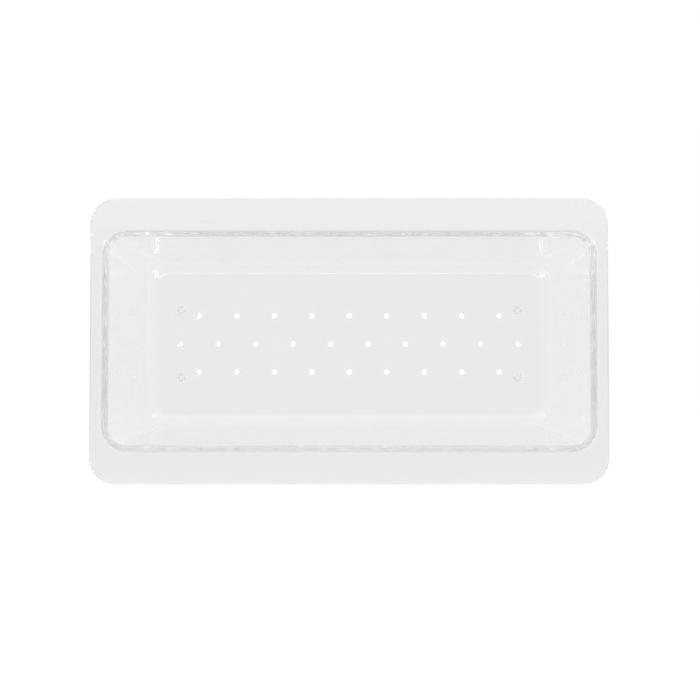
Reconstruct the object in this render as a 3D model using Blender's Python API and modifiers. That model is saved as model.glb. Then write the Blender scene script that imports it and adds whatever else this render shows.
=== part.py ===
"""Clear sink waste bowl: a drained rectangular basin moulded in one piece with its flange,
standing on four clear buffer feet.

Metres, +Z up. The origin is on the table under the middle of the bowl, +X runs along the bowl's
length and +Y points to its rear long side.
"""

import math

import bmesh
import bpy
from mathutils import Matrix

# Basin, measured on its inner surface. Its walls meet the flange's top and the floor in sharp
# outlines, before the rounding at both. The long walls, floor and flange are equally thick, and
# the end walls a little thicker.
mouth_length = 0.3444
mouth_width = 0.1494
bowl_depth = 0.076
end_draft = math.radians(12)
side_draft = math.radians(9.7)
wall_thickness = 0.0045
end_wall_thickness = 0.0055
floor_fillet_radius = 0.008
floor_corner_radius = 0.0055

# Flange, from the mouth's sharp outline to the rim's edge
end_flange = 0.0128
side_flange = 0.0273
rim_corner_radius = 0.0185
rim_edge_radius = 0.0008
mouth_edge_radius = 0.0025
mouth_under_radius = 0.003

# Drain holes, in three staggered rows that run along the floor
hole_diameter = 0.005
hole_pitch = 0.030
row_pitch = 0.0225
hole_end_margin = 0.010
hole_rows = 3

# Buffer feet, each pressed into a shallow round seat in the floor's underside
foot_diameter = 0.0064
foot_contact_diameter = 0.0024
foot_standoff = 0.002
foot_row_offset = 0.0044
seat_depth = 0.0008
seat_gap = 0.0003

# Facets of the round forms
corner_segments = 8
rounding_segments = 5
edge_segments = 2
hole_segments = 20
foot_segments = 24
dome_segments = 6
cut_overshoot = 0.002

# The walls lean outwards, so each turn between wall and floor, or wall and flange, is under 90
# degrees. One bevel runs round all four walls, so it takes the middle of their two turns.
end_turn = math.pi / 2 - end_draft
side_turn = math.pi / 2 - side_draft
mean_turn = (end_turn + side_turn) / 2
fillet_reach = floor_fillet_radius * math.tan(mean_turn / 2)
wall_corner_radius = floor_corner_radius + fillet_reach

floor_length = mouth_length - 2 * bowl_depth * math.tan(end_draft)
floor_width = mouth_width - 2 * bowl_depth * math.tan(side_draft)
rim_length = mouth_length + 2 * end_flange
rim_width = mouth_width + 2 * side_flange
floor_top = foot_standoff + wall_thickness

# The widest row holds as many holes as fit the floor's flat, and the rows beside it one fewer.
flat_length = floor_length - 2 * fillet_reach
widest_row = int((flat_length - 2 * hole_end_margin) / hole_pitch) + 1
foot_x = (widest_row - 1) / 2 * hole_pitch
foot_y = (hole_rows - 1) / 2 * row_pitch + foot_row_offset
foot_height = foot_standoff + seat_depth - seat_gap


def clear_scene():
    for thing in list(bpy.data.objects):
        bpy.data.objects.remove(thing, do_unlink=True)


def collection(name):
    made = bpy.data.collections.new(name)
    bpy.context.scene.collection.children.link(made)
    return made


def plastic(name, colour, roughness, refraction):
    material = bpy.data.materials.new(name)
    material.use_nodes = True
    shader = material.node_tree.nodes["Principled BSDF"]
    shader.inputs["Base Color"].default_value = (*colour, 1.0)
    shader.inputs["Metallic"].default_value = 0.0
    shader.inputs["Roughness"].default_value = roughness
    shader.inputs["IOR"].default_value = refraction
    shader.inputs["Transmission Weight"].default_value = 1.0
    return material


def placed(name, bm, where, material=None):
    """The shape in bm as a smooth-shaded object in the collection where."""
    mesh = bpy.data.meshes.new(name)
    bm.to_mesh(mesh)
    bm.free()
    mesh.shade_smooth()
    if material:
        mesh.materials.append(material)
    made = bpy.data.objects.new(name, mesh)
    where.objects.link(made)
    return made


def tapered_basin(bm, grown, lowered, corner_radius):
    """Walls and floor, open at the top, with rounded upright corners. The walls' sharp outlines
    are grown by (x, y) on each side. Returns the mouth's edges and the floor's."""
    block = bmesh.ops.create_cube(bm, size=1.0)["verts"]
    for vert in block:
        at_mouth = vert.co.z > 0
        vert.co.x *= (mouth_length if at_mouth else floor_length) + 2 * grown[0]
        vert.co.y *= (mouth_width if at_mouth else floor_width) + 2 * grown[1]
        vert.co.z = (bowl_depth if at_mouth else 0.0) - lowered
    upright = [e for e in bm.edges if e.verts[0].co.z != e.verts[1].co.z]
    bmesh.ops.bevel(
        bm, geom=upright, offset=corner_radius, segments=corner_segments,
        profile=0.5, affect="EDGES",
    )
    top = max(bm.faces, key=lambda face: face.calc_center_median().z)
    floor = min(bm.faces, key=lambda face: face.calc_center_median().z)
    mouth_edges = list(top.edges)
    floor_edges = list(floor.edges)
    bmesh.ops.delete(bm, geom=[top], context="FACES_ONLY")
    return mouth_edges, floor_edges


def add_flange(bm, mouth_edges, height):
    """A flat flange from the mouth out to the rim's rounded outline. The outline is bridged from
    above the mouth, so that corners meet their own corners, and then laid level with it."""
    above = Matrix.Translation((0, 0, height + side_flange))
    plate = bmesh.ops.create_grid(
        bm, x_segments=1, y_segments=1, size=0.5,
        matrix=above @ Matrix.Diagonal((rim_length, rim_width, 1, 1)),
    )["verts"]
    outline = bmesh.ops.bevel(
        bm, geom=plate, offset=rim_corner_radius, segments=corner_segments,
        profile=0.5, affect="VERTICES",
    )["verts"]
    sheet = outline[0].link_faces[0]
    outline_edges = list(sheet.edges)
    bmesh.ops.delete(bm, geom=[sheet], context="FACES_ONLY")
    bmesh.ops.bridge_loops(bm, edges=mouth_edges + outline_edges)
    for vert in outline:
        vert.co.z = height
    bm.normal_update()


def round_edges(bm, edges, radius, turn, segments):
    bmesh.ops.bevel(
        bm, geom=edges, offset=radius * math.tan(turn / 2), segments=segments,
        profile=0.5, affect="EDGES",
    )


def add_skin(whole, grown, lowered, corner_radius, mouth_radius, fillet_radius):
    """Add one face of the moulding to whole: walls, floor and flange as a sheet."""
    bm = bmesh.new()
    mouth_edges, floor_edges = tapered_basin(bm, grown, lowered, corner_radius)
    add_flange(bm, mouth_edges, bowl_depth - lowered)
    round_edges(bm, mouth_edges, mouth_radius, mean_turn, rounding_segments)
    round_edges(bm, floor_edges, fillet_radius, mean_turn, rounding_segments)
    sheet = bpy.data.meshes.new("skin")
    bm.to_mesh(sheet)
    bm.free()
    whole.from_mesh(sheet)
    bpy.data.meshes.remove(sheet)


def hole_places():
    """The centre of each drain hole. Neighbouring rows are half a pitch out of step, so every
    other row, from the first on, holds one hole fewer."""
    for row in range(hole_rows):
        count = widest_row - (row + 1) % 2
        for step in range(count):
            yield (step - (count - 1) / 2) * hole_pitch, (row - (hole_rows - 1) / 2) * row_pitch


def make_pins(name, places, radius, bottom, top, where):
    """Upright round cutters, one at each place, in one object."""
    bm = bmesh.new()
    for x, y in places:
        bmesh.ops.create_cone(
            bm, cap_ends=True, segments=hole_segments, radius1=radius, radius2=radius,
            depth=top - bottom, matrix=Matrix.Translation((x, y, (top + bottom) / 2)),
        )
    pins = placed(name, bm, where)
    pins.hide_render = True
    pins.display_type = "WIRE"
    return pins


def cut(body, cutter):
    boolean = body.modifiers.new(cutter.name, "BOOLEAN")
    boolean.operation = "DIFFERENCE"
    boolean.solver = "EXACT"
    boolean.object = cutter


def make_bowl(parts, cutters, seats, material):
    bm = bmesh.new()
    add_skin(
        bm, (0.0, 0.0), 0.0, wall_corner_radius,
        mouth_edge_radius, floor_fillet_radius,
    )
    outside = (
        end_wall_thickness / math.cos(end_draft) - wall_thickness * math.tan(end_draft),
        wall_thickness / math.cos(side_draft) - wall_thickness * math.tan(side_draft),
    )
    add_skin(
        bm, outside, wall_thickness, wall_corner_radius + wall_thickness,
        mouth_under_radius, floor_fillet_radius + wall_thickness,
    )
    rim_edges = [e for e in bm.edges if e.is_boundary]
    bmesh.ops.bridge_loops(bm, edges=rim_edges)
    bmesh.ops.recalc_face_normals(bm, faces=bm.faces)
    round_edges(bm, rim_edges, rim_edge_radius, math.pi / 2, edge_segments)
    bowl = placed("bowl", bm, parts, material)
    bowl.location.z = floor_top

    cut(bowl, make_pins(
        "drain_hole_pins", hole_places(), hole_diameter / 2,
        foot_standoff - cut_overshoot, floor_top + cut_overshoot, cutters,
    ))
    cut(bowl, make_pins(
        "foot_seat_pins", seats, foot_diameter / 2 + seat_gap,
        foot_standoff - cut_overshoot, foot_standoff + seat_depth, cutters,
    ))
    shading = bowl.modifiers.new("flat faces shade flat", "WEIGHTED_NORMAL")
    shading.keep_sharp = True


def foot_mesh(material):
    """One buffer foot, turned: a flat top that sits in the seat, a domed skirt below it and a
    small flat where it meets the table."""
    radius = foot_diameter / 2
    contact = foot_contact_diameter / 2
    profile = [(0.0, foot_height), (radius, foot_height)]
    for step in range(dome_segments + 1):
        angle = step / dome_segments * math.pi / 2
        profile.append((
            contact + (radius - contact) * math.cos(angle),
            foot_standoff * (1 - math.sin(angle)),
        ))
    profile.append((0.0, 0.0))
    mesh = bpy.data.meshes.new("buffer foot")
    mesh.from_pydata(
        [(x, 0.0, z) for x, z in profile], [(i, i + 1) for i in range(len(profile) - 1)], [],
    )
    mesh.materials.append(material)
    return mesh


def make_foot(name, mesh, x, y, parts):
    foot = bpy.data.objects.new(name, mesh)
    parts.objects.link(foot)
    foot.location = (x, y, 0.0)
    turn = foot.modifiers.new("turned", "SCREW")
    turn.steps = foot_segments
    turn.render_steps = foot_segments
    turn.use_merge_vertices = True
    turn.merge_threshold = 0.00001
    turn.use_smooth_shade = True


clear_scene()
parts = collection("sink_waste_bowl")
cutters = collection("cutters")
clear_plastic = plastic("clear moulded plastic", (0.93, 0.935, 0.935), 0.06, 1.57)
clear_rubber = plastic("clear soft buffer", (0.88, 0.88, 0.87), 0.25, 1.5)

foot_places = {
    "foot_front_left": (-foot_x, -foot_y),
    "foot_front_right": (foot_x, -foot_y),
    "foot_rear_left": (-foot_x, foot_y),
    "foot_rear_right": (foot_x, foot_y),
}
make_bowl(parts, cutters, foot_places.values(), clear_plastic)
buffer_foot = foot_mesh(clear_rubber)
for foot_name, (x, y) in foot_places.items():
    make_foot(foot_name, buffer_foot, x, y, parts)
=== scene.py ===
import math

import bmesh
import bpy
from mathutils import Matrix, Vector


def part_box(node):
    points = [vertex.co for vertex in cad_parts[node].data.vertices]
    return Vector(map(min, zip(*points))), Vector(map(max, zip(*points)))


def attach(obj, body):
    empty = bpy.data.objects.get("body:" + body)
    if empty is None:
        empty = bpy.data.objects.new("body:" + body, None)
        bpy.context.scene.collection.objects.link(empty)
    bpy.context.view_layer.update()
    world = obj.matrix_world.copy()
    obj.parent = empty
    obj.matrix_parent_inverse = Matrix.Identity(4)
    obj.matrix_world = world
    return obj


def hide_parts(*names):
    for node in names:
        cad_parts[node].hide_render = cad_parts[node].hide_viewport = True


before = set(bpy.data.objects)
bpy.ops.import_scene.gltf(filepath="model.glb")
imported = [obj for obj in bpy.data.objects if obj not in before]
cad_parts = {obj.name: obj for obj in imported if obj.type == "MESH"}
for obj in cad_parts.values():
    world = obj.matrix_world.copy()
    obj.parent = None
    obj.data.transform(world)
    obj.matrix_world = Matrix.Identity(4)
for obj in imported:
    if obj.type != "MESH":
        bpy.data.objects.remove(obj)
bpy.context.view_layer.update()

scene = bpy.context.scene


# The bowl is one moulding in hard, clear plastic: a flat flange, four leaning walls and a floor,
# 4.5 mm thick, with end walls of 5.5 mm. The walls turn into the flange over a small radius on each
# face, so the mouth shows from above as a grey band, about as wide as the wall is thick.
mouth_length = 0.3444
mouth_width = 0.1494
bowl_depth = 0.076
end_draft = math.radians(12)
side_draft = math.radians(9.7)
wall_thickness = 0.0045
end_wall_thickness = 0.0055
floor_fillet_radius = 0.008
floor_corner_radius = 0.0055
rim_corner_radius = 0.0185
rim_edge_radius = 0.0008
mouth_edge_radius = 0.0025
mouth_under_radius = 0.003
corner_segments = 20
rounding_segments = 14
rim_segments = 5

bowl_low, bowl_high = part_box("bowl")
rim_length = bowl_high.x - bowl_low.x
rim_width = bowl_high.y - bowl_low.y
floor_top = bowl_high.z - bowl_depth
floor_length = mouth_length - 2 * bowl_depth * math.tan(end_draft)
floor_width = mouth_width - 2 * bowl_depth * math.tan(side_draft)

# One rounding runs round all four walls, so it takes the middle of their two turns.
mean_turn = math.pi / 2 - (end_draft + side_draft) / 2
wall_corner_radius = floor_corner_radius + floor_fillet_radius * math.tan(mean_turn / 2)


def round_over(bm, edges, radius, turn, segments):
    bmesh.ops.bevel(
        bm, geom=edges, offset=radius * math.tan(turn / 2), segments=segments,
        profile=0.5, affect="EDGES",
    )


def face_of_moulding(grown, lowered, corner_radius, mouth_radius, fillet_radius):
    """Walls, floor and flange as one open sheet, for the inside or the outside of the plastic.
    The walls' sharp outlines are grown by (x, y) on each side."""
    bm = bmesh.new()
    for vert in bmesh.ops.create_cube(bm, size=1.0)["verts"]:
        at_mouth = vert.co.z > 0
        vert.co.x *= (mouth_length if at_mouth else floor_length) + 2 * grown[0]
        vert.co.y *= (mouth_width if at_mouth else floor_width) + 2 * grown[1]
        vert.co.z = (bowl_depth if at_mouth else 0.0) - lowered
    upright = [e for e in bm.edges if e.verts[0].co.z != e.verts[1].co.z]
    bmesh.ops.bevel(
        bm, geom=upright, offset=corner_radius, segments=corner_segments,
        profile=0.5, affect="EDGES",
    )
    top = max(bm.faces, key=lambda face: face.calc_center_median().z)
    floor = min(bm.faces, key=lambda face: face.calc_center_median().z)
    mouth_edges = list(top.edges)
    floor_edges = list(floor.edges)
    bmesh.ops.delete(bm, geom=[top], context="FACES_ONLY")

    # The rim's outline is bridged from above, so that corners meet their own corners, and is then
    # laid level with the mouth.
    above = Matrix.Translation((0, 0, 2 * bowl_depth))
    plate = bmesh.ops.create_grid(
        bm, x_segments=1, y_segments=1, size=0.5,
        matrix=above @ Matrix.Diagonal((rim_length, rim_width, 1, 1)),
    )["verts"]
    outline = bmesh.ops.bevel(
        bm, geom=plate, offset=rim_corner_radius, segments=corner_segments,
        profile=0.5, affect="VERTICES",
    )["verts"]
    sheet = outline[0].link_faces[0]
    outline_edges = list(sheet.edges)
    bmesh.ops.delete(bm, geom=[sheet], context="FACES_ONLY")
    bmesh.ops.bridge_loops(bm, edges=mouth_edges + outline_edges)
    for vert in outline:
        vert.co.z = bowl_depth - lowered
    bm.normal_update()
    round_over(bm, mouth_edges, mouth_radius, mean_turn, rounding_segments)
    round_over(bm, floor_edges, fillet_radius, mean_turn, rounding_segments)
    mesh = bpy.data.meshes.new("face of the moulding")
    bm.to_mesh(mesh)
    bm.free()
    return mesh


def object_from(bm, name, smooth=True):
    mesh = bpy.data.meshes.new(name)
    bm.to_mesh(mesh)
    bm.free()
    if smooth:
        mesh.shade_smooth()
    made = bpy.data.objects.new(name, mesh)
    scene.collection.objects.link(made)
    return made


inner_face = face_of_moulding(
    (0.0, 0.0), 0.0, wall_corner_radius, mouth_edge_radius, floor_fillet_radius,
)
outward = (
    end_wall_thickness / math.cos(end_draft) - wall_thickness * math.tan(end_draft),
    wall_thickness / math.cos(side_draft) - wall_thickness * math.tan(side_draft),
)
outer_face = face_of_moulding(
    outward, wall_thickness, wall_corner_radius + wall_thickness,
    mouth_under_radius, floor_fillet_radius + wall_thickness,
)
plain_slot = 1
for polygon in outer_face.polygons:
    polygon.material_index = plain_slot
moulding = bmesh.new()
moulding.from_mesh(inner_face)
moulding.from_mesh(outer_face)
rim_edges = [e for e in moulding.edges if e.is_boundary]
bmesh.ops.bridge_loops(moulding, edges=rim_edges)
bmesh.ops.recalc_face_normals(moulding, faces=moulding.faces)
round_over(moulding, rim_edges, rim_edge_radius, math.pi / 2, rim_segments)
bowl = object_from(moulding, "clear_bowl")
bowl.location.z = floor_top


def noise(nodes, links, place, scale, detail, stretch=(1, 1, 1), turned=0.0):
    """Noise over the object's own metres, scale in waves per metre, stretched and turned about Z."""
    mapping = nodes.new("ShaderNodeMapping")
    mapping.inputs["Rotation"].default_value = (0.0, 0.0, turned)
    mapping.inputs["Scale"].default_value = stretch
    links.new(place, mapping.inputs["Vector"])
    texture = nodes.new("ShaderNodeTexNoise")
    texture.inputs["Scale"].default_value = scale
    texture.inputs["Detail"].default_value = detail
    links.new(mapping.outputs["Vector"], texture.inputs["Vector"])
    return texture.outputs["Fac"]


def feed(links, socket, value):
    """Give a socket a plain number, or link it to what another node puts out."""
    if isinstance(value, (int, float)):
        socket.default_value = value
    else:
        links.new(value, socket)


def math_node(nodes, links, operation, *values):
    node = nodes.new("ShaderNodeMath")
    node.operation = operation
    for socket, value in zip(node.inputs, values):
        feed(links, socket, value)
    return node.outputs[0]


def ranged(nodes, links, value, start, end, at_start=0.0, at_end=1.0):
    """at_start where value is at start or before it, at_end where it is at end or past it, and an
    even run from one to the other between them."""
    node = nodes.new("ShaderNodeMapRange")
    links.new(value, node.inputs["Value"])
    node.inputs["From Min"].default_value = start
    node.inputs["From Max"].default_value = end
    feed(links, node.inputs["To Min"], at_start)
    feed(links, node.inputs["To Max"], at_end)
    return node.outputs["Result"]


def new_group(name, inputs, outputs):
    """A shader group with float sockets, and its own input and output nodes."""
    group = bpy.data.node_groups.new(name, "ShaderNodeTree")
    for socket_name in inputs:
        group.interface.new_socket(socket_name, in_out="INPUT", socket_type="NodeSocketFloat")
    for socket_name in outputs:
        group.interface.new_socket(socket_name, in_out="OUTPUT", socket_type="NodeSocketFloat")
    entry = group.nodes.new("NodeGroupInput")
    leave = group.nodes.new("NodeGroupOutput")
    return group, entry, leave


# Moulded surface: the plastic's slow waves from cooling and its finer flow ripples, as a height in
# metres.
waves_per_metre = 22.0
ripples_per_metre = 240.0

flow, flow_in, flow_out = new_group("moulding flow", ["Wave height", "Ripple height"], ["Height"])
flow_place = flow.nodes.new("ShaderNodeTexCoord").outputs["Object"]
waves = noise(flow.nodes, flow.links, flow_place, waves_per_metre, detail=1.0)
ripples = noise(flow.nodes, flow.links, flow_place, ripples_per_metre, detail=2.0)
wave_height = math_node(flow.nodes, flow.links, "MULTIPLY", waves, flow_in.outputs["Wave height"])
ripple_height = math_node(
    flow.nodes, flow.links, "MULTIPLY", ripples, flow_in.outputs["Ripple height"],
)
flow_height = math_node(flow.nodes, flow.links, "ADD", wave_height, ripple_height)
flow.links.new(flow_height, flow_out.inputs["Height"])

# Handling marks: hairlines rubbed in along the piece and across it, in patches, and specks of dust,
# each as a mask. A hairline shows where its stretched and turned noise peaks, and a speck in the
# middle of a few cells.
hairline_scale = 6.0
hairlines_along = ((3, 260, 40), math.radians(12))
hairlines_across = ((240, 4, 40), math.radians(-20))
hairline_peak = (0.73, 0.78)
patches_per_metre = 30.0
patch_edge = (0.5, 0.65)
speck_cells_per_metre = 160.0
speck_edge = (0.09, 0.03)
speck_chance = (0.93, 0.94)

marks, marks_in, marks_out = new_group(
    "handling marks", ["Hairlines", "Specks"], ["Hairlines", "Specks"],
)
marks_place = marks.nodes.new("ShaderNodeTexCoord").outputs["Object"]
line_masks = []
for stretch, turned in (hairlines_along, hairlines_across):
    streak = noise(
        marks.nodes, marks.links, marks_place, hairline_scale, detail=0.0,
        stretch=stretch, turned=turned,
    )
    line_masks.append(ranged(marks.nodes, marks.links, streak, *hairline_peak))
hairlines = math_node(marks.nodes, marks.links, "MAXIMUM", *line_masks)
patches = noise(marks.nodes, marks.links, marks_place, patches_per_metre, detail=2.0)
rubbed = ranged(marks.nodes, marks.links, patches, *patch_edge)
hairlines = math_node(marks.nodes, marks.links, "MULTIPLY", hairlines, rubbed)
hairlines = math_node(
    marks.nodes, marks.links, "MULTIPLY", hairlines, marks_in.outputs["Hairlines"],
)
cells = marks.nodes.new("ShaderNodeTexVoronoi")
cells.inputs["Scale"].default_value = speck_cells_per_metre
marks.links.new(marks_place, cells.inputs["Vector"])
near = ranged(marks.nodes, marks.links, cells.outputs["Distance"], *speck_edge)
chance = marks.nodes.new("ShaderNodeSeparateColor")
marks.links.new(cells.outputs["Color"], chance.inputs["Color"])
chosen = ranged(marks.nodes, marks.links, chance.outputs["Red"], *speck_chance)
specks = math_node(marks.nodes, marks.links, "MULTIPLY", near, chosen)
specks = math_node(marks.nodes, marks.links, "MULTIPLY", specks, marks_in.outputs["Specks"])
marks.links.new(hairlines, marks_out.inputs["Hairlines"])
marks.links.new(specks, marks_out.inputs["Specks"])


def clear_material(
    name, colour, worn_colour, refraction, roughness, worn_roughness,
    wave_height, ripple_height, hairlines, specks,
):
    """A clear plastic that is rougher and duller where it is rubbed or dusty. The heights are in
    metres, and hairlines and specks run from 0 to 1."""
    material = bpy.data.materials.new(name)
    material.use_nodes = True
    nodes = material.node_tree.nodes
    links = material.node_tree.links
    shader = nodes["Principled BSDF"]
    shader.inputs["IOR"].default_value = refraction
    shader.inputs["Transmission Weight"].default_value = 1.0

    handling = nodes.new("ShaderNodeGroup")
    handling.node_tree = marks
    handling.inputs["Hairlines"].default_value = hairlines
    handling.inputs["Specks"].default_value = specks
    worn = math_node(
        nodes, links, "MAXIMUM", handling.outputs["Hairlines"], handling.outputs["Specks"],
    )
    tint = nodes.new("ShaderNodeMix")
    tint.data_type = "RGBA"
    tint.inputs["A"].default_value = (*colour, 1.0)
    tint.inputs["B"].default_value = (*worn_colour, 1.0)
    links.new(worn, tint.inputs["Factor"])
    links.new(tint.outputs["Result"], shader.inputs["Base Color"])
    rough = ranged(nodes, links, worn, 0.0, 1.0, roughness, worn_roughness)
    links.new(rough, shader.inputs["Roughness"])

    surface = nodes.new("ShaderNodeGroup")
    surface.node_tree = flow
    surface.inputs["Wave height"].default_value = wave_height
    surface.inputs["Ripple height"].default_value = ripple_height
    bump = nodes.new("ShaderNodeBump")
    bump.inputs["Distance"].default_value = 1.0
    links.new(surface.outputs["Height"], bump.inputs["Height"])
    links.new(bump.outputs["Normal"], shader.inputs["Normal"])
    return material


moulding_colour = (0.864, 0.864, 0.864)
moulding_worn_colour = (0.80, 0.80, 0.795)
moulding_refraction = 1.57

polished_plastic = clear_material(
    "polished inside of the clear moulding",
    moulding_colour, moulding_worn_colour, moulding_refraction, roughness=0.0, worn_roughness=0.2,
    wave_height=0.00002, ripple_height=0.0000015, hairlines=0.6, specks=0.6,
)
plain_plastic = clear_material(
    "plainer outside of the clear moulding",
    moulding_colour, moulding_worn_colour, moulding_refraction, roughness=0.08, worn_roughness=0.25,
    wave_height=0.00002, ripple_height=0.0000015, hairlines=0.6, specks=0.6,
)
bowl.data.materials.append(polished_plastic)
bowl.data.materials.append(plain_plastic)


# The drain holes run through the floor in three staggered rows. Polished steel core pins mould
# them, and leave their walls smooth and their edges crisp. Four shallow round seats, moulded into
# the floor's underside, take the feet.
hole_diameter = 0.005
hole_pitch = 0.030
row_pitch = 0.0225
row_counts = (9, 10, 9)
hole_edge_radius = 0.00012
hole_segments = 48
hole_edge_segments = 2
sharp_turn = math.radians(60)
foot_nodes = ("foot_front_left", "foot_front_right", "foot_rear_left", "foot_rear_right")
foot_diameter = 0.0064
seat_depth = 0.0008
seat_gap = 0.0003

pin_plastic = clear_material(
    "smooth wall of a drain hole",
    moulding_colour, moulding_worn_colour, moulding_refraction, roughness=0.08, worn_roughness=0.2,
    wave_height=0.0, ripple_height=0.000002, hairlines=0.0, specks=0.5,
)


def round_cutters(name, places, radius, middle_height, length, material):
    """Upright round cutters in one object, one at each (x, y) place."""
    bm = bmesh.new()
    for x, y in places:
        bmesh.ops.create_cone(
            bm, cap_ends=True, segments=hole_segments, radius1=radius, radius2=radius,
            depth=length, matrix=Matrix.Translation((x, y, middle_height)),
        )
    cutters = object_from(bm, name)
    cutters.data.materials.append(material)
    return cutters


hole_places = []
for row, count in enumerate(row_counts):
    for step in range(count):
        hole_places.append((
            (step - (count - 1) / 2) * hole_pitch,
            (row - (len(row_counts) - 1) / 2) * row_pitch,
        ))
core_pins = round_cutters(
    "core_pins", hole_places, hole_diameter / 2,
    floor_top - wall_thickness / 2, 3 * wall_thickness, pin_plastic,
)
foot_boxes = {node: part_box(node) for node in foot_nodes}
foot_places = [((low + high) / 2).xy for low, high in foot_boxes.values()]
seat_pads = round_cutters(
    "seat_pads", foot_places, foot_diameter / 2 + seat_gap,
    bowl_low.z, 2 * seat_depth, plain_plastic,
)
for name, cutters in (("foot seats", seat_pads), ("drain holes", core_pins)):
    cut = bowl.modifiers.new(name, "BOOLEAN")
    cut.object = cutters
    cut.solver = "EXACT"
    cut.material_mode = "TRANSFER"
easing = bowl.modifiers.new("hole edges", "BEVEL")
easing.width = hole_edge_radius
easing.segments = hole_edge_segments
easing.limit_method = "ANGLE"
easing.angle_limit = sharp_turn
shading = bowl.modifiers.new("flat faces shade flat", "WEIGHTED_NORMAL")
shading.keep_sharp = True
bpy.context.view_layer.update()
bowl_mesh = bpy.data.meshes.new_from_object(
    bowl.evaluated_get(bpy.context.evaluated_depsgraph_get())
)
bowl.modifiers.clear()
bowl.data = bowl_mesh
bpy.data.objects.remove(core_pins)
bpy.data.objects.remove(seat_pads)
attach(bowl, "root")
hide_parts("bowl")


# The four buffer feet are small domes in soft, clear plastic, cast with a flat top. Each is stuck
# in its seat under the floor, and its lowest point is worn to a small flat.
foot_contact_diameter = 0.0024
foot_standoff = bowl_low.z
foot_edge_radius = 0.0002
foot_dome_segments = 20
foot_edge_segments = 4
foot_sides = 72
same_point = 0.000001

clear_buffer = clear_material(
    "clear soft buffer",
    colour=(0.98, 0.98, 0.975), worn_colour=(0.85, 0.84, 0.82), refraction=1.45,
    roughness=0.06, worn_roughness=0.3,
    wave_height=0.0, ripple_height=0.000006, hairlines=0.3, specks=1.0,
)


def foot_profile(top):
    """Radius and height from the middle of the flat top, out over its soft edge, down the dome
    and in along the worn flat."""
    radius = foot_diameter / 2
    contact = foot_contact_diameter / 2
    points = [(0.0, top)]
    for step in range(foot_edge_segments + 1):
        angle = step / foot_edge_segments * math.pi / 2
        points.append((
            radius - foot_edge_radius * (1 - math.sin(angle)),
            top - foot_edge_radius * (1 - math.cos(angle)),
        ))
    for step in range(foot_dome_segments + 1):
        angle = step / foot_dome_segments * math.pi / 2
        points.append((
            contact + (radius - contact) * math.cos(angle),
            foot_standoff * (1 - math.sin(angle)),
        ))
    points.append((0.0, 0.0))
    return points


for node, (foot_low, foot_high) in foot_boxes.items():
    half = bmesh.new()
    verts = [half.verts.new((r, 0.0, z)) for r, z in foot_profile(foot_high.z)]
    for start, end in zip(verts, verts[1:]):
        half.edges.new((start, end))
    bmesh.ops.spin(
        half, geom=list(half.verts) + list(half.edges), cent=(0, 0, 0), axis=(0, 0, 1),
        angle=2 * math.pi, steps=foot_sides, use_merge=True,
    )
    bmesh.ops.remove_doubles(half, verts=half.verts, dist=same_point)
    bmesh.ops.recalc_face_normals(half, faces=half.faces)
    foot = object_from(half, "buffer_" + node)
    middle = (foot_low + foot_high) / 2
    foot.location = (middle.x, middle.y, 0.0)
    foot.data.materials.append(clear_buffer)
    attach(foot, "root")
    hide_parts(node)


# The table is a plain white board under the bowl. To the camera, straight or through the plastic,
# it is mostly an even white glow, and the rest of it takes the bowl's soft shadow.
table_size = 6.0
board_colour = (0.9, 0.9, 0.9, 1)
board_roughness = 0.9
glow_share = 0.94
glow_strength = 1.02

board = bmesh.new()
bmesh.ops.create_grid(board, x_segments=1, y_segments=1, size=table_size / 2)
table = object_from(board, "white_table", smooth=False)
white_board = bpy.data.materials.new("white board")
white_board.use_nodes = True
board_nodes = white_board.node_tree.nodes
board_links = white_board.node_tree.links
board_shader = board_nodes["Principled BSDF"]
board_shader.inputs["Base Color"].default_value = board_colour
board_shader.inputs["Roughness"].default_value = board_roughness
board_shader.inputs["Specular IOR Level"].default_value = 0.0
glow = board_nodes.new("ShaderNodeEmission")
glow.inputs["Strength"].default_value = glow_strength
light_path = board_nodes.new("ShaderNodeLightPath")
seen = math_node(
    board_nodes, board_links, "MAXIMUM",
    light_path.outputs["Is Camera Ray"], light_path.outputs["Is Glossy Ray"],
)
seen = math_node(
    board_nodes, board_links, "MAXIMUM", seen, light_path.outputs["Is Transmission Ray"],
)
share = math_node(board_nodes, board_links, "MULTIPLY", seen, glow_share)
blend = board_nodes.new("ShaderNodeMixShader")
board_links.new(share, blend.inputs["Fac"])
board_links.new(board_shader.outputs["BSDF"], blend.inputs[1])
board_links.new(glow.outputs["Emission"], blend.inputs[2])
board_links.new(blend.outputs["Shader"], board_nodes["Material Output"].inputs["Surface"])
table.data.materials.append(white_board)


# The bowl stands in a white light tent. Its rear is brighter than its front and sides. Its ceiling
# is darker towards the front, and the camera looks down through it. The ceiling's edges and seam are
# given as x or y of a unit direction from the bowl, and each is a little blurred.
tent_rear = 1.12
tent_front = 0.70
tent_side = 0.73
ceiling_dark = 0.30
ceiling_pale = 0.80
ceiling_half_length = 0.42
ceiling_front = -0.32
ceiling_seam = 0.12
ceiling_rear = 0.40
ceiling_blur = 0.05

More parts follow.
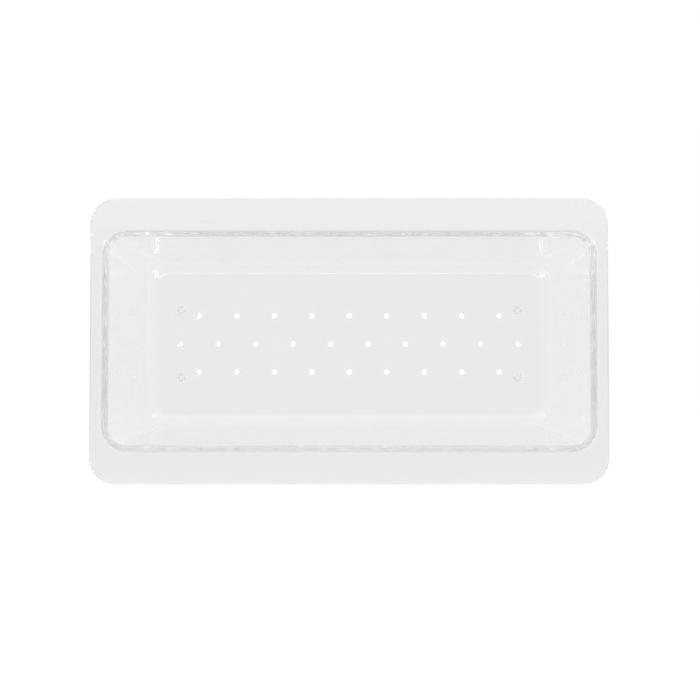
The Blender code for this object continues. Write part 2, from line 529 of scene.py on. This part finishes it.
world = bpy.data.worlds.new("white light tent")
world.use_nodes = True
scene.world = world
tent_nodes = world.node_tree.nodes
tent_links = world.node_tree.links
direction = tent_nodes.new("ShaderNodeTexCoord").outputs["Generated"]
reach = tent_nodes.new("ShaderNodeSeparateXYZ")
tent_links.new(direction, reach.inputs[0])
level = tent_nodes.new("ShaderNodeVectorMath")
level.operation = "MULTIPLY"
level.inputs[1].default_value = (1, 1, 0)
tent_links.new(direction, level.inputs[0])
heading = tent_nodes.new("ShaderNodeVectorMath")
heading.operation = "NORMALIZE"
tent_links.new(level.outputs["Vector"], heading.inputs[0])
compass = tent_nodes.new("ShaderNodeSeparateXYZ")
tent_links.new(heading.outputs["Vector"], compass.inputs[0])
side_to_rear = ranged(
    tent_nodes, tent_links, compass.outputs["Y"], 0.0, 1.0, tent_side, tent_rear,
)
tent_walls = ranged(
    tent_nodes, tent_links, compass.outputs["Y"], 0.0, -1.0, side_to_rear, tent_front,
)

sideways = math_node(tent_nodes, tent_links, "ABSOLUTE", reach.outputs["X"])
overhead = math_node(tent_nodes, tent_links, "GREATER_THAN", reach.outputs["Z"], 0.0)
for part, edge, blurred_edge in (
    (sideways, ceiling_half_length, ceiling_half_length + ceiling_blur),
    (reach.outputs["Y"], ceiling_rear, ceiling_rear + ceiling_blur),
    (reach.outputs["Y"], ceiling_front, ceiling_front - ceiling_blur),
):
    within = ranged(tent_nodes, tent_links, part, blurred_edge, edge)
    overhead = math_node(tent_nodes, tent_links, "MULTIPLY", overhead, within)
ceiling = ranged(
    tent_nodes, tent_links, reach.outputs["Y"], ceiling_seam, ceiling_seam + ceiling_blur,
    ceiling_dark, ceiling_pale,
)
tent = ranged(tent_nodes, tent_links, overhead, 0.0, 1.0, tent_walls, ceiling)
tent_links.new(tent, tent_nodes["Background"].inputs["Strength"])
tent_nodes["Background"].inputs["Color"].default_value = (1, 1, 1, 1)


# A low lamp stands at each of the tent's four corners, and a higher, square one looks in over each
# front corner. They draw the short light lines in the corners of the basin. A long strip above the
# bowl's front draws the thin line along the rear fillet, and a soft box hangs round the camera.
# Light goes through and along many faces of the clear plastic, so the paths are long.
lamp_distance = 1.5
corner_azimuth = math.radians(46)
corner_elevation = math.radians(20)
corner_size = (0.25, 0.6)
front_corner_radiance = 4.0
rear_corner_radiance = 2.0
square_azimuth = math.radians(57)
square_elevation = math.radians(36)
square_size = (0.3, 0.3)
square_radiance = 11.0
strip_elevation = math.radians(76)
strip_size = (1.6, 0.16)
strip_radiance = 2.6
box_elevation = math.radians(88.3)
box_size = (1.1, 0.37)
box_radiance = 0.35
light_bounces = 300


def soft_lamp(name, azimuth, elevation, size, radiance):
    """A rectangular lamp aimed at the bowl, its azimuth turned from the front towards +X."""
    data = bpy.data.lights.new(name, "AREA")
    data.shape = "RECTANGLE"
    data.size, data.size_y = size
    data.energy = radiance * math.pi * size[0] * size[1]
    lamp = bpy.data.objects.new(name, data)
    lamp.location = lamp_distance * Vector((
        math.sin(azimuth) * math.cos(elevation),
        -math.cos(azimuth) * math.cos(elevation),
        math.sin(elevation),
    ))
    lamp.rotation_euler = (-lamp.location).to_track_quat("-Z", "Y").to_euler()
    lamp.visible_camera = False
    scene.collection.objects.link(lamp)


for side in (-1, 1):
    soft_lamp(
        "front corner lamp", side * corner_azimuth, corner_elevation, corner_size,
        front_corner_radiance,
    )
    soft_lamp(
        "rear corner lamp", side * (math.pi - corner_azimuth), corner_elevation, corner_size,
        rear_corner_radiance,
    )
    soft_lamp(
        "square corner lamp", side * square_azimuth, square_elevation, square_size,
        square_radiance,
    )
soft_lamp("strip above the front", 0.0, strip_elevation, strip_size, strip_radiance)
soft_lamp("soft box round the camera", math.pi, box_elevation, box_size, box_radiance)

scene.view_settings.view_transform = "Standard"
scene.cycles.max_bounces = light_bounces
scene.cycles.transmission_bounces = light_bounces
scene.cycles.glossy_bounces = light_bounces


# The camera looks almost straight down, leaning back from a little in front of the bowl. It stands
# so near that the floor shows at nine tenths of the rim's scale.
frame_pixels = 700
focal_pixels = 868.5
rim_centre_pixels = (349.3, 340.7)
camera_height = 0.618
camera_lean = math.radians(1.365)
sensor_width = 36.0

metres_per_pixel = camera_height / focal_pixels
aim = Vector((
    (frame_pixels / 2 - rim_centre_pixels[0]) * metres_per_pixel,
    (rim_centre_pixels[1] - frame_pixels / 2) * metres_per_pixel,
    bowl_high.z,
))
camera_data = bpy.data.cameras.new("camera over the bowl")
camera_data.sensor_fit = "HORIZONTAL"
camera_data.sensor_width = sensor_width
camera_data.lens = sensor_width * focal_pixels / frame_pixels
camera = bpy.data.objects.new("camera over the bowl", camera_data)
camera.location = aim + Vector((0, -camera_height * math.tan(camera_lean), camera_height))
camera.rotation_euler = (aim - camera.location).to_track_quat("-Z", "Y").to_euler()
scene.collection.objects.link(camera)
scene.camera = camera
